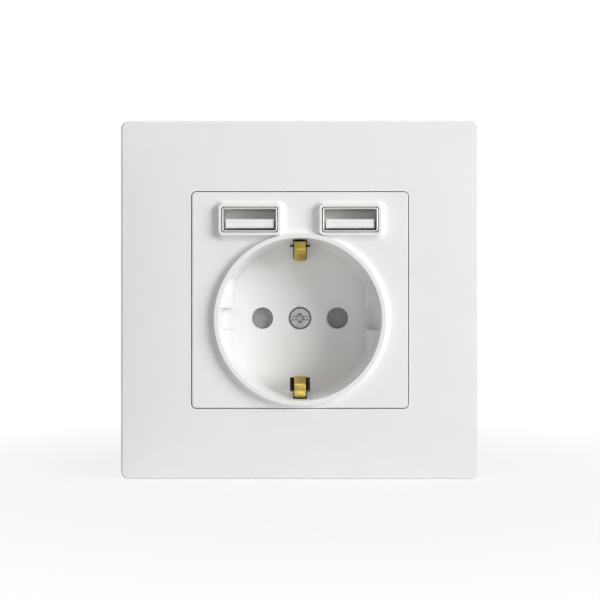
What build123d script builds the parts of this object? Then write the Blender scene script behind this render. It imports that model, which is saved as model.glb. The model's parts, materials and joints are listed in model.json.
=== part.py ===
from build123d import *
import math
import os

# A flush wall socket with two charging ports, in millimetres.
# The wall is the plane Y = 0. The front looks along -Y, +Z is up and +X is right.
# The origin is the middle of the wall box, between the two wall screws.

# Frame and insert, as seen from the front
FRAME_SIDE = 86.0
FRAME_CORNER = 1.8
FRAME_DEPTH = 10.0
FRAME_WALL = 2.0
FRAME_FRONT = 2.6
FRAME_EDGE_ROUND = 0.5
CROWN_DROP = 0.9
CROWN_DEGREE = 10
WINDOW_GAP = 0.22
INSERT_CORNER = 1.0
PLATE_THICK = 2.0
SKIRT_DEPTH = 3.0
SKIRT_WALL = 1.5
LEDGE_THICK = 2.0
LEDGE_REACH = 1.2
COLLAR_WALL = 1.5
RIB_OFFSET = 14.0
RIB_THICK = 1.2

# Round well of the outlet
WELL_RADIUS = 19.4
WELL_DEPTH = 17.5
WELL_DRAFT = 0.4
WELL_FOOT_BEVEL = 0.6
CUP_WALL = 1.5
FLOOR_THICK = 2.0
RIM_RISE = 2.0
RIM_WIDTH = 1.12
RIM_MARGIN = 0.73
RIM_BEVEL = 0.1
COVE_RADIUS = 1.6
PIN_SPACING = 19.0
PIN_HOLE_RADIUS = 2.72
GUIDE_FRONT_HALF = 16.6
GUIDE_FOOT_HALF = 16.5
GUIDE_SET_BACK = 5.0
GUIDE_TALL = 28.0
GUIDE_GROOVE = 5.4
EARTH_SLOT_WIDTH = 5.1
EARTH_SLOT_INNER = 15.0
EARTH_SLOT_OUTER = 18.6
EARTH_SLOT_SET_BACK = 4.0
EARTH_NECK_WIDTH = 3.4
CHEEK_OUTER = 18.0
CHEEK_RISE = 1.0

# Charging ports
PORT_OFFSET = 11.98
PORT_RISE = 3.18
PORT_MARGIN = 3.01
PORT_WIDTH = 12.5
PORT_TALL = 5.12
SHELL_THICK = 0.3
SHELL_LENGTH = 9.9
SHELL_SET_BACK = 0.1
SHELL_GAP = 0.2
BOSS_BORDER = 0.68
BOSS_CORNER = 1.1
TONGUE_WIDTH = 11.5
TONGUE_THICK = 2.1
TONGUE_LIFT = 0.65
TONGUE_BEVEL = 0.28
TONGUE_SET_BACK = 0.6
PORT_REAR_WALL = 1.4
CONTACT_WIDTH = 1.0
CONTACT_THICK = 0.25
CONTACT_PLACES = (-3.5, -1.0, 1.0, 3.5)

# Support ring and base
RING_EDGE = 2.3
RING_CORNER = 7.0
RING_THICK = 1.0
WALL_SCREW_SPACING = 60.0
WALL_SLOT_RADIUS = 2.1
WALL_SLOT_LENGTH = 6.4
CUP_CLEARANCE = 0.6
BASE_WIDTH = 50.0
BASE_HEADROOM = 4.44
BASE_WALL = 1.6
DECK_THICK = 2.0
DECK_MARGIN = 10.76
COVER_THICK = 2.0
SUPPORT_SCREW_REACH = 3.506
SUPPORT_SCREW_ANGLE = 35.724
SUPPORT_SCREW_RADIUS = 1.0
COVER_SCREW_INSET = 4.4
COVER_SCREW_LIFT = 2.0
COVER_SCREW_RADIUS = 1.3
SUPPORT_HEAD_RADIUS = 2.0
SUPPORT_HEAD_TALL = 1.5
SUPPORT_BOSS_RADIUS = 3.3
SUPPORT_BOSS_DEPTH = 9.0
COVER_HEAD_RADIUS = 2.4
COVER_HEAD_TALL = 1.1
COVER_HEAD_PLAY = 0.2
COVER_SEAT_DEPTH = 1.2
COVER_BOSS_RADIUS = 3.0
COVER_SCREW_LENGTH = 7.0
COVER_LIP_PLAY = 0.15
COVER_LIP_WIDTH = 1.25
COVER_LIP_TALL = 0.45
COVER_POST_SIDE = 4.4
CONTACT_SPACE = 4.6
SCREW_CLEARANCE = 0.1

# Shutter behind the floor of the well
SHUTTER_SPACE = 5.6
SHUTTER_PLAY = 0.15
HUB_RADIUS = 3.7
HUB_PLAY = 0.08
HUB_RING = 1.8
WING_INNER = 5.2
WING_OUTER = 12.9
WING_HALF_ANGLE = 20.5
WING_FOOT = 0.8
SHUTTER_TURN = 38.0
STOP_INNER = 9.0
POST_INNER = 6.5
STOP_ANGLE = 7.0
STOP_PLAY_ANGLE = 0.6
LUG_OUTER = 9.5
LUG_SET_BACK = 0.8
SPRING_LUG_ANGLES = (72.0, 84.0)
SPRING_POST_ANGLES = (146.0, 154.0)
SPRING_FOOT_RADIUS = 7.2
SPRING_SHOULDER_RADIUS = 9.4
SPRING_BOW_RADIUS = 12.6
SPRING_THICK = 0.3
SPRING_TALL = 3.0

# Brass parts and terminals
EARTH_THICK = 0.8
CLIP_THICK = 0.7
CLIP_WIDTH = 2.8
CLIP_ROUND = 1.0
# each bend of a clip: how far outside the arm's radius, how deep below the rim
CLIP_BENDS = ((1.55, 5.6), (0.1, 6.6), (-1.2, 6.4), (-2.8, 9.6), (-2.8, 12.4))
BRACKET_WIDTH = 6.4
ARM_RADIUS = 17.4
PIN_CONTACT_THICK = 0.8
PIN_CONTACT_TALL = 6.0
PIN_CONTACT_HALF = 3.0
FORK_FLARE = 0.3
FORK_PINCH = 0.6
FORK_MOUTH = 3.0
FORK_BLADE = 3.5
TERMINAL_WIDTH = 6.8
TERMINAL_TALL = 7.0
TERMINAL_DEPTH = 10.5
TERMINAL_SPACING = 12.0
TERMINAL_INSET = 11.2
BARRIER_OVER = 3.8
BARRIER_THICK = 1.4
WIRE_HOLE_RADIUS = 1.7
WIRE_HOLE_DEPTH = 8.0
WIRE_ENTRY_RADIUS = 2.3
TERMINAL_SCREW_RADIUS = 1.5
TERMINAL_HEAD_RADIUS = 2.8
TERMINAL_HEAD_TALL = 2.4
CENTRE_HEAD_RADIUS = 2.52
CENTRE_HEAD_TALL = 2.0
CENTRE_SINK = 0.2
CENTRE_SEAT_RADIUS = 2.9
CENTRE_SHANK_RADIUS = 1.5
CENTRE_NUT_SIDE = 5.5
CENTRE_NUT_THICK = 2.2
DRIVE_SLOT = 1.07
DRIVE_CROSS = 2.84

# Charger board and its parts
BOARD_THICK = 1.6
BOARD_FRONT_HALF = 20.0
BOARD_REAR_HALF = 12.5
BOARD_SIDE_PLAY = 1.48
BOARD_PLAY = 0.05
CORE_WIDTH = 13.0
CORE_TALL = 12.0
CORE_DEPTH = 6.0
WINDING_WIDTH = 8.8
WINDING_TALL = 7.4
WINDING_DEPTH = 10.0
INPUT_CAN_OFFSET = 8.4
INPUT_CAN_RADIUS = 3.7
INPUT_CAN_LENGTH = 11.0
OUTPUT_CAN_OFFSET = 4.0
OUTPUT_CAN_RADIUS = 2.5
OUTPUT_CAN_LENGTH = 7.0
FUSE_RADIUS = 2.0
FUSE_TALL = 7.0
SAFETY_RADIUS = 2.6
SAFETY_THICK = 2.6
CHIP_WIDTH = 4.0
CHIP_LENGTH = 5.0
CHIP_TALL = 1.4
CHIP_LEG_PITCH = 1.27
RECTIFIER_WIDTH = 4.8
RECTIFIER_LENGTH = 4.0
RECTIFIER_TALL = 1.7
RECTIFIER_LEG_OFFSET = 1.3

# Depths that follow from these sizes
face_y = -FRAME_DEPTH
plate_back_y = face_y + PLATE_THICK
skirt_back_y = plate_back_y + SKIRT_DEPTH
ledge_back_y = skirt_back_y + LEDGE_THICK
ring_front_y = -RING_THICK
rim_y = face_y - RIM_RISE
floor_y = rim_y + WELL_DEPTH
floor_back_y = floor_y + FLOOR_THICK
deck_y = floor_back_y + SHUTTER_SPACE
deck_back_y = deck_y + DECK_THICK
terminal_back_y = deck_back_y + TERMINAL_DEPTH
contact_back_y = terminal_back_y + PIN_CONTACT_THICK
base_back_y = contact_back_y + CONTACT_SPACE
cover_back_y = base_back_y + COVER_THICK

# Other places that follow from these sizes
cup_radius = WELL_RADIUS + CUP_WALL
cup_hole_radius = cup_radius + CUP_CLEARANCE
pin_x = PIN_SPACING / 2
shell_width = PORT_WIDTH + 2 * SHELL_THICK
shell_tall = PORT_TALL + 2 * SHELL_THICK
opening_width = shell_width + 2 * SHELL_GAP
opening_tall = shell_tall + 2 * SHELL_GAP
boss_width = opening_width + 2 * BOSS_BORDER
boss_tall = opening_tall + 2 * BOSS_BORDER
rim_radius = WELL_RADIUS + RIM_WIDTH
insert_side = RIM_MARGIN + 2 * rim_radius + PORT_RISE + boss_tall / 2 + PORT_MARGIN
window_side = insert_side + 2 * WINDOW_GAP
window_corner = INSERT_CORNER + WINDOW_GAP
well_z = RIM_MARGIN + rim_radius - insert_side / 2
port_z = well_z + rim_radius + PORT_RISE
shell_front_y = rim_y + SHELL_SET_BACK
shell_back_y = shell_front_y + SHELL_LENGTH
port_floor_z = port_z - PORT_TALL / 2
tongue_top_z = port_floor_z + TONGUE_LIFT + TONGUE_THICK
board_z = port_z + shell_tall / 2
board_top_z = board_z + BOARD_THICK
board_back_y = base_back_y - 2.2
base_tall = 2 * (board_top_z + BASE_HEADROOM)
base_round = math.hypot(BOARD_REAR_HALF + BOARD_SIDE_PLAY, board_top_z) + BASE_WALL
terminal_z = TERMINAL_INSET - base_tall / 2
terminal_top_z = terminal_z + TERMINAL_TALL / 2
terminal_low_z = terminal_z - TERMINAL_TALL / 2
barrier_top_z = terminal_top_z + BARRIER_OVER
deck_top_z = board_z - DECK_MARGIN
support_reach = cup_hole_radius + SUPPORT_SCREW_REACH
support_x = support_reach * math.cos(math.radians(SUPPORT_SCREW_ANGLE))
support_z = well_z + support_reach * math.sin(math.radians(SUPPORT_SCREW_ANGLE))
cover_screw_x = BASE_WIDTH / 2 - COVER_SCREW_INSET
cover_seat_y = cover_back_y - COVER_SEAT_DEPTH
tab_front_y = contact_back_y - PIN_CONTACT_THICK
centre_seat_y = floor_y + CENTRE_HEAD_TALL + CENTRE_SINK
terminal_screw_y = (deck_back_y + terminal_back_y) / 2
input_front_y = floor_back_y + 0.7
output_front_y = input_front_y - 0.8 - OUTPUT_CAN_LENGTH
chip_front_y = floor_back_y + 0.5
rectifier_front_y = deck_back_y + 3.4
between_y = (input_front_y + INPUT_CAN_LENGTH + tab_front_y) / 2
well_axis = Axis((0, 0, well_z), (0, 1, 0))


def slab(flat_shape, back, front):
    """Stand a flat X-Z shape up and give it depth from back to front."""
    return extrude(Plane.XZ.offset(-back) * flat_shape, amount=back - front)


def block(x_range, y_range, z_range):
    """A box between two limits on each axis."""
    sizes = [high - low for low, high in (x_range, y_range, z_range)]
    middle = [(high + low) / 2 for low, high in (x_range, y_range, z_range)]
    return Pos(*middle) * Box(*sizes)


def rod(x, z, radius, back, front):
    """A round bar along Y."""
    return slab(Pos(x, z) * Circle(radius), back, front)


def upright(x, y, radius, bottom, top):
    """A round bar along Z."""
    return Pos(x, y, (bottom + top) / 2) * Cylinder(radius, top - bottom)


def polar(radius, angle):
    """A point round the well's axis, with the angle counted from -X towards +Z."""
    turn = math.radians(angle)
    return (-radius * math.cos(turn), well_z + radius * math.sin(turn))


def sector(inner, outer, start, end):
    """A flat piece of a ring round the well's axis."""
    far = outer / math.cos(math.radians((end - start) / 2)) + 1
    cone = Polygon((0, well_z), polar(far, start), polar(far, end), align=None)
    ring = Pos(0, well_z) * (Circle(outer) - Circle(inner))
    return ring & cone


def base_outline(inset):
    """The base's outline, a circle with four flats, moved in by inset."""
    flats = Rectangle(BASE_WIDTH - 2 * inset, base_tall - 2 * inset)
    return flats & Circle(base_round - inset)


def both_sides(solid):
    """A solid and its mirror image across the middle."""
    return solid + mirror(solid, Plane.YZ)


def save(shape, name):
    """Write one piece of the assembly, or a set of like pieces."""
    if isinstance(shape, list):
        shape = Compound(children=shape)
    export_step(shape, f"parts/{name}.step")


# Cover frame: a pillowed square, hollow behind, with a collar round the window.
# The pillow is one smooth patch whose border is flat, so the frame's edge stays at one height.
def make_pillow():
    half = FRAME_SIDE / 2 + 0.5
    edge_y = face_y + CROWN_DROP
    last = CROWN_DEGREE
    grid = []
    for i in range(last + 1):
        row = []
        for k in range(last + 1):
            on_border = i in (0, last) or k in (0, last)
            x = half * (2 * i / last - 1)
            z = half * (2 * k / last - 1)
            row.append(Vector(x, edge_y if on_border else face_y, z))
        grid.append(row)
    return extrude(Face.make_bezier_surface(grid), amount=FRAME_DEPTH + 5, dir=(0, 1, 0))


def make_cover_frame():
    frame = slab(RectangleRounded(FRAME_SIDE, FRAME_SIDE, FRAME_CORNER), 0, face_y - 1) & make_pillow()
    front_edges = frame.edges().filter_by(lambda e: e.bounding_box().max.Y < face_y / 2)
    frame = fillet(front_edges, FRAME_EDGE_ROUND)

    hollow_y = face_y + FRAME_FRONT + CROWN_DROP
    inner = FRAME_SIDE - 2 * FRAME_WALL
    collar = window_side + 2 * COLLAR_WALL
    frame -= slab(Rectangle(inner, inner) - Rectangle(collar, collar), 0, hollow_y)
    frame -= slab(Rectangle(collar, collar), 0, ring_front_y)

    ledge_side = insert_side - 2 * LEDGE_REACH
    window = RectangleRounded(window_side, window_side, window_corner)
    frame -= slab(window, skirt_back_y, face_y - 1)
    frame -= slab(window, 0, ledge_back_y)
    frame -= slab(Rectangle(ledge_side, ledge_side), 0, skirt_back_y)
    frame -= rod(0, well_z, cup_radius + 0.4, 0, skirt_back_y)

    # stiffening ribs between the collar and the outer wall
    for place in (-RIB_OFFSET, RIB_OFFSET):
        for side in (-1, 1):
            middle = side * (collar + inner) / 4
            length = (inner - collar) / 2 + 0.4
            across = Pos(middle, place) * Rectangle(length, RIB_THICK)
            along = Pos(place, middle) * Rectangle(RIB_THICK, length)
            frame += slab(across + along, ring_front_y - 1, hollow_y - 0.2)
    return frame


# Socket insert: plate, rim, port bosses, well and cup in one moulding
def make_port_boss(x):
    pad = RectangleRounded(boss_width + 5.6, boss_tall + 5.6, BOSS_CORNER + 2)
    raised = RectangleRounded(boss_width, boss_tall, BOSS_CORNER)
    boss = slab(pad, face_y + 1, face_y) + slab(raised, face_y, rim_y)
    foot = boss.edges().filter_by(lambda e: abs(e.center().Y - face_y) < 0.01)
    foot = foot.filter_by(lambda e: abs(e.center().X) < boss_width / 2 + 0.1)
    foot = foot.filter_by(lambda e: abs(e.center().Z) < boss_tall / 2 + 0.1)
    boss = fillet(foot, COVE_RADIUS)
    top = boss.faces().sort_by(Axis.Y)[0]
    boss = chamfer(top.edges(), RIM_BEVEL)
    return Pos(x, 0, port_z) * boss


def make_rim():
    profile = Polyline(
        (WELL_RADIUS - 3, face_y + 1),
        (rim_radius + COVE_RADIUS, face_y + 1),
        (rim_radius + COVE_RADIUS, face_y),
    )
    cove_top = (rim_radius, face_y - COVE_RADIUS)
    centre = (rim_radius + COVE_RADIUS, face_y - COVE_RADIUS)
    lean = COVE_RADIUS * math.sqrt(0.5)
    cove = ThreePointArc(profile @ 1, (centre[0] - lean, centre[1] + lean), cove_top)
    top = Polyline(
        cove_top,
        (rim_radius, rim_y + RIM_BEVEL),
        (rim_radius - RIM_BEVEL, rim_y),
        (WELL_RADIUS - 3, rim_y),
        profile @ 0,
    )
    face = make_face(profile + cove + top)
    rim = revolve(Plane.XY.offset(well_z) * face, well_axis)
    return rim & slab(Rectangle(insert_side, insert_side), 10, rim_y - 1)


def make_well_hollow():
    foot_radius = WELL_RADIUS - WELL_DRAFT
    half_profile = Polygon(
        (0, floor_y),
        (0, rim_y - 1),
        (WELL_RADIUS + RIM_BEVEL, rim_y - 1),
        (WELL_RADIUS + RIM_BEVEL, rim_y),
        (WELL_RADIUS, rim_y + RIM_BEVEL),
        (foot_radius, floor_y - WELL_FOOT_BEVEL),
        (foot_radius - WELL_FOOT_BEVEL, floor_y),
        align=None,
    )
    hollow = revolve(Plane.XY.offset(well_z) * half_profile, well_axis)

    # the guides stay standing at both sides, each split by a groove
    guide_y = rim_y + GUIDE_SET_BACK
    guide = Polygon(
        (GUIDE_FRONT_HALF, guide_y),
        (WELL_RADIUS + 2, guide_y),
        (WELL_RADIUS + 2, floor_y + 1),
        (GUIDE_FOOT_HALF, floor_y + 1),
        align=None,
    )
    guides = extrude(Plane.XY.offset(well_z - GUIDE_TALL / 2) * guide, amount=GUIDE_TALL)
    groove = block(
        (GUIDE_FOOT_HALF - 1, WELL_RADIUS + 3),
        (guide_y - 1, floor_y + 2),
        (well_z - GUIDE_GROOVE / 2, well_z + GUIDE_GROOVE / 2),
    )
    return hollow - both_sides(guides - groove)


def make_shutter_stops():
    depth = (deck_y - 2 * SHUTTER_PLAY, floor_back_y - 0.2)
    start = -WING_HALF_ANGLE - STOP_PLAY_ANGLE
    end = WING_HALF_ANGLE + SHUTTER_TURN + STOP_PLAY_ANGLE
    stops = []
    for turn in (0, 180):
        stops.append(slab(sector(STOP_INNER, WING_OUTER, turn + start - STOP_ANGLE, turn + start), *depth))
        stops.append(slab(sector(STOP_INNER, WING_OUTER, turn + end, turn + end + STOP_ANGLE), *depth))
    stops.append(slab(sector(POST_INNER, WING_OUTER, *SPRING_POST_ANGLES), *depth))
    return stops


# Each earth clip comes through a slot in the floor that runs on as a narrow neck up the well's wall.
# The upper slot has cheeks beside the clip, because the charger's board lies behind it.
def cut_earth_slots(insert):
    half, neck = EARTH_SLOT_WIDTH / 2, EARTH_NECK_WIDTH / 2
    through = (floor_y - 1, floor_back_y + 1)
    low_z = (well_z - EARTH_SLOT_OUTER, well_z - EARTH_SLOT_INNER)
    top_z = (well_z + CHEEK_OUTER, well_z + EARTH_SLOT_OUTER)
    insert -= block((-half, half), through, low_z)
    insert -= block((-half, half), through, top_z)
    cheek_y = (floor_y - CHEEK_RISE, floor_y + 0.5)
    insert += block((-half, half), cheek_y, (well_z + EARTH_SLOT_INNER, well_z + CHEEK_OUTER))
    for side in (-1, 1):
        neck_z = sorted((well_z + side * EARTH_SLOT_INNER, well_z + side * (cup_radius + 1)))
        insert -= block((-neck, neck), (rim_y + EARTH_SLOT_SET_BACK, floor_back_y + 1), neck_z)
    return insert


def make_socket_insert():
    plate = slab(RectangleRounded(insert_side, insert_side, INSERT_CORNER), plate_back_y, face_y)
    plate = fillet(plate.faces().sort_by(Axis.Y)[0].edges(), 0.2)
    inner = insert_side - 2 * SKIRT_WALL
    skirt = RectangleRounded(insert_side, insert_side, INSERT_CORNER) - Rectangle(inner, inner)
    insert = plate + slab(skirt, skirt_back_y, plate_back_y)
    insert += make_rim()
    insert += make_port_boss(-PORT_OFFSET)
    insert += make_port_boss(PORT_OFFSET)
    insert += rod(0, well_z, cup_radius, floor_back_y, plate_back_y - 0.5)
    insert -= make_well_hollow()

    # boss for the centre screw, which is also the shutter's pivot
    insert += rod(0, well_z, HUB_RADIUS, deck_y - SHUTTER_PLAY, floor_back_y - 0.5)
    insert += make_shutter_stops()
    insert -= rod(0, well_z, CENTRE_SEAT_RADIUS, centre_seat_y, floor_y - 1)
    insert -= rod(0, well_z, CENTRE_SHANK_RADIUS + SCREW_CLEARANCE, deck_y + 1, floor_y)

    for side in (-1, 1):
        insert -= rod(side * pin_x, well_z, PIN_HOLE_RADIUS, floor_back_y + 1, floor_y - 1)
        opening = Pos(side * PORT_OFFSET, port_z) * RectangleRounded(opening_width, opening_tall, 0.6)
        insert -= slab(opening, plate_back_y + 1, rim_y - 1)
    return cut_earth_slots(insert)


# Centre screw with a slot and a cross recess, and its square nut
def make_centre_screw():
    front = centre_seat_y - CENTRE_HEAD_TALL
    head = rod(0, well_z, CENTRE_HEAD_RADIUS, centre_seat_y, front)
    head = chamfer(head.faces().sort_by(Axis.Y)[0].edges(), 0.25)
    shank_end = deck_back_y + EARTH_THICK + CENTRE_NUT_THICK + 1.5
    screw = head + rod(0, well_z, CENTRE_SHANK_RADIUS, shank_end, centre_seat_y)
    slot = Rectangle(2 * CENTRE_HEAD_RADIUS + 1, DRIVE_SLOT)
    cross = Rectangle(DRIVE_SLOT, DRIVE_CROSS) + Rectangle(DRIVE_CROSS, DRIVE_SLOT)
    screw -= slab(Pos(0, well_z) * slot, front + 0.7, front - 1)
    screw -= slab(Pos(0, well_z) * cross, front + 1.4, front - 1)
    return screw


def make_centre_nut():
    front = deck_back_y + EARTH_THICK
    nut = slab(Pos(0, well_z) * Rectangle(CENTRE_NUT_SIDE, CENTRE_NUT_SIDE), front + CENTRE_NUT_THICK, front)
    return nut - rod(0, well_z, CENTRE_SHANK_RADIUS + 0.02, front + 10, front - 1)


# Shutter: a rotor with a ramp behind each pin hole, pushed aside by both pins together
def make_shutter():
    front = floor_back_y + SHUTTER_PLAY
    back = deck_y - SHUTTER_PLAY
    hub_outer = HUB_RADIUS + HUB_PLAY + HUB_RING
    wing = slab(sector(WING_INNER, WING_OUTER, -WING_HALF_ANGLE, WING_HALF_ANGLE), back, front)
    half = WING_OUTER * math.sin(math.radians(WING_HALF_ANGLE))
    ramp = Polygon(
        (front - 1, well_z + half),
        (front, well_z + half),
        (back - WING_FOOT, well_z - half),
        (front - 1, well_z - half),
        align=None,
    )
    wing -= extrude(Plane.YZ * ramp, amount=-2 * WING_OUTER)
    rotor = slab(Pos(0, well_z) * Circle(hub_outer), back, front)
    rotor += wing
    rotor += wing.rotate(well_axis, 180)
    rotor += slab(sector(WING_INNER, LUG_OUTER, *SPRING_LUG_ANGLES), back, front + LUG_SET_BACK)
    return rotor - rod(0, well_z, HUB_RADIUS + HUB_PLAY, back + 1, front - 1)


# Spring: a bowed strip between the rotor's lug and a post on the insert
def make_shutter_spring():
    start = SPRING_LUG_ANGLES[1] + 2.2
    end = SPRING_POST_ANGLES[0] - 2.2
    middle = (start + end) / 2
    foot, shoulder = SPRING_FOOT_RADIUS, SPRING_SHOULDER_RADIUS
    legs = Line(polar(foot, start), polar(shoulder, start)) + Line(polar(shoulder, end), polar(foot, end))
    bow = ThreePointArc(polar(shoulder, start), polar(SPRING_BOW_RADIUS, middle), polar(shoulder, end))
    back = deck_y - 4 * SHUTTER_PLAY
    return slab(trace(legs + bow, SPRING_THICK), back, back - SPRING_TALL)


# Earth bracket: one brass strip with a spring clip at each end
def make_earth_bracket():
    reach = [(ARM_RADIUS + out, rim_y + depth) for out, depth in CLIP_BENDS]
    reach.append((ARM_RADIUS, floor_y + CLIP_THICK))
    reach.append((ARM_RADIUS, deck_back_y + EARTH_THICK / 2))
    bracket = block(
        (-BRACKET_WIDTH / 2, BRACKET_WIDTH / 2),
        (deck_back_y, deck_back_y + EARTH_THICK),
        (well_z - ARM_RADIUS - CLIP_THICK / 2, well_z + ARM_RADIUS + CLIP_THICK / 2),
    )
    for side in (-1, 1):
        points = [(y, well_z + side * r) for r, y in reach]
        strip = trace(FilletPolyline(*points, radius=CLIP_ROUND), CLIP_THICK)
        bracket += extrude(Plane.YZ.offset(-CLIP_WIDTH / 2) * strip, amount=CLIP_WIDTH)
    return bracket - rod(0, well_z, CENTRE_SHANK_RADIUS + 0.05, deck_back_y + 5, deck_y)


# Pin contact: a sprung fork with a strip to its terminal and a tab to the board
def make_pin_contact(side):
    x = side * pin_x
    half = PIN_CONTACT_HALF
    web_y = contact_back_y - PIN_CONTACT_THICK / 2
    mouth_y = deck_back_y + 0.9
    pinch_y = mouth_y + FORK_MOUTH
    blade_y = pinch_y + FORK_BLADE
    fork = [
        (half + FORK_FLARE, mouth_y),
        (half - FORK_PINCH, pinch_y),
        (half, blade_y),
        (half, web_y),
        (-half, web_y),
        (-half, blade_y),
        (-half + FORK_PINCH, pinch_y),
        (-half - FORK_FLARE, mouth_y),
    ]
    strip = Pos(x, 0) * trace(FilletPolyline(*fork, radius=0.6), PIN_CONTACT_THICK)
    low = well_z - PIN_CONTACT_TALL / 2
    contact = extrude(Plane.XY.offset(low) * strip, amount=PIN_CONTACT_TALL)
    lead_x = sorted((x - side * 1.0, side * (TERMINAL_SPACING + 1.0)))
    contact += block(lead_x, (tab_front_y, contact_back_y), (terminal_top_z - 1.4, low + 1))
    contact += block((x - 1, x + 1), (tab_front_y, contact_back_y), (low + 1, board_top_z + 0.5))
    return contact


# Terminals: brass blocks with a wire hole from behind and a clamping screw from below
def make_terminal(x, front):
    half = TERMINAL_WIDTH / 2
    bottom = terminal_low_z
    terminal = block((x - half, x + half), (front, terminal_back_y), (bottom, terminal_top_z))
    hole_end_y = terminal_back_y - WIRE_HOLE_DEPTH
    terminal -= rod(x, terminal_z, WIRE_HOLE_RADIUS, terminal_back_y + 1, hole_end_y)
    hole = TERMINAL_SCREW_RADIUS + SCREW_CLEARANCE / 2
    return terminal - upright(x, terminal_screw_y, hole, bottom - 1, terminal_z)


def make_terminal_screw(x):
    tip = terminal_z - WIRE_HOLE_RADIUS - 0.2
    head_top = terminal_low_z - 1.4
    head_low = head_top - TERMINAL_HEAD_TALL
    screw = upright(x, terminal_screw_y, TERMINAL_HEAD_RADIUS, head_low, head_top)
    screw += upright(x, terminal_screw_y, TERMINAL_SCREW_RADIUS, head_top, tip)
    slot_y = (terminal_screw_y - 0.5, terminal_screw_y + 0.5)
    return screw - block((x - 4, x + 4), slot_y, (head_low - 1, head_low + 1.1))


# Support ring: the steel plate on the wall
def make_support_ring():
    side = WALL_SCREW_SPACING + WALL_SLOT_LENGTH + 2 * RING_EDGE
    outline = chamfer(Rectangle(side, side).vertices(), RING_CORNER)
    board_gap = BOARD_REAR_HALF + 0.8
    opening = Pos(0, well_z) * Circle(cup_hole_radius)
    top = board_top_z + 1.2
    opening += Pos(0, top / 2) * Rectangle(2 * board_gap, top)
    ring = slab(outline - opening, 0, ring_front_y)
    reach = WALL_SCREW_SPACING / 2
    for side in (-1, 1):
        slot = SlotOverall(WALL_SLOT_LENGTH, 2 * WALL_SLOT_RADIUS)
        square_slot = Rectangle(WALL_SLOT_LENGTH, 2 * WALL_SLOT_RADIUS)
        ring -= slab(Pos(side * reach, 0) * slot, 1, ring_front_y - 1)
        ring -= slab(Pos(0, side * reach) * square_slot, 1, ring_front_y - 1)
        hole = SUPPORT_SCREW_RADIUS + SCREW_CLEARANCE
        ring -= rod(side * support_x, support_z, hole, 1, ring_front_y - 1)
    return ring


def make_support_screw(side):
    x, z = side * support_x, support_z
    front = ring_front_y - SUPPORT_HEAD_TALL
    screw = rod(x, z, SUPPORT_HEAD_RADIUS, ring_front_y, front)
    screw += rod(x, z, SUPPORT_SCREW_RADIUS, SUPPORT_BOSS_DEPTH - 3, ring_front_y)
    cross = Rectangle(0.6, 2.2) + Rectangle(2.2, 0.6)
    return screw - slab(Pos(x, z) * cross, ring_front_y - 0.6, front - 1)


# Base: the moulding in the wall box, with a deck that carries the brass parts
def make_wall_boss(x, z, radius):
    """The flat outline of a screw boss that grows out of the nearest side wall."""
    wall_x = math.copysign(BASE_WIDTH / 2, x)
    web = Pos((x + wall_x) / 2, z) * Rectangle(abs(wall_x - x), 2 * radius)
    return Pos(x, z) * Circle(radius) + web


def make_base_body():
    outside = base_outline(0)
    inside = base_outline(BASE_WALL)
    base = slab(outside - inside, base_back_y, 0)
    deck = Pos(0, deck_top_z - base_tall) * Rectangle(2 * BASE_WIDTH, 2 * base_tall)
    base += slab(inside & deck, deck_back_y, deck_y)
    keep = slab(outside, base_back_y, 0)

    # bosses for the support screws and the cover screws
    for side in (-1, 1):
        boss = make_wall_boss(side * support_x, support_z, SUPPORT_BOSS_RADIUS)
        base += slab(boss, SUPPORT_BOSS_DEPTH, 0) & keep
        hole = SUPPORT_SCREW_RADIUS + SCREW_CLEARANCE
        base -= rod(side * support_x, support_z, hole, SUPPORT_BOSS_DEPTH - 2, -1)
        boss = make_wall_boss(side * cover_screw_x, COVER_SCREW_LIFT, COVER_BOSS_RADIUS)
        base += slab(boss, base_back_y, deck_back_y - 0.5) & keep
        hole = COVER_SCREW_RADIUS + SCREW_CLEARANCE
        hole_end_y = base_back_y - COVER_SCREW_LENGTH - 2
        base -= rod(side * cover_screw_x, COVER_SCREW_LIFT, hole, base_back_y + 1, hole_end_y)

    # barriers between the terminals and walls beside the forks
    for side in (-1, 1):
        middle = side * TERMINAL_SPACING / 2
        barrier = (middle - BARRIER_THICK / 2, middle + BARRIER_THICK / 2)
        base += block(barrier, (deck_back_y - 0.5, base_back_y - 0.5), (-base_tall, barrier_top_z)) & keep
        outer = sorted((side * (pin_x + PIN_CONTACT_HALF + 1.4), side * (pin_x + PIN_CONTACT_HALF + 2.6)))
        wall_z = (well_z - PIN_CONTACT_TALL / 2 - 1.4, well_z + PIN_CONTACT_TALL / 2 + 2.6)
        base += block(outer, (deck_back_y - 0.5, contact_back_y - 1.5), wall_z)

    # rails that hold the charger board by its edges
    for side in (-1, 1):
        under = sorted((side * (BOARD_REAR_HALF - 0.9), side * BASE_WIDTH / 2))
        over = sorted((side * (BOARD_REAR_HALF - 1.3), side * (BOARD_REAR_HALF - 0.1)))
        run = (deck_back_y + 6, board_back_y - 0.5)
        base += block(under, run, (board_z - 1.5, board_z - BOARD_PLAY)) & keep
        base += block(over, run, (board_top_z + BOARD_PLAY, base_tall)) & keep

    # openings in the deck and in the lower wall
    for side in (-1, 1):
        base -= rod(side * pin_x, well_z, PIN_HOLE_RADIUS + 0.6, deck_back_y + 0.7, deck_y - 1)
    base -= rod(0, well_z, CENTRE_SHANK_RADIUS + 0.3, deck_back_y + 1, deck_y - 1)
    arm = (well_z - ARM_RADIUS - 1.2, well_z - ARM_RADIUS + 1.2)
    base -= block((-CLIP_WIDTH / 2 - 0.6, CLIP_WIDTH / 2 + 0.6), (deck_y - 1, deck_back_y + 0.7), arm)
    for x in (-TERMINAL_SPACING, 0, TERMINAL_SPACING):
        base -= upright(x, terminal_screw_y, TERMINAL_HEAD_RADIUS + 0.4, -base_tall, terminal_low_z - 1.2)
    return base


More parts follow.
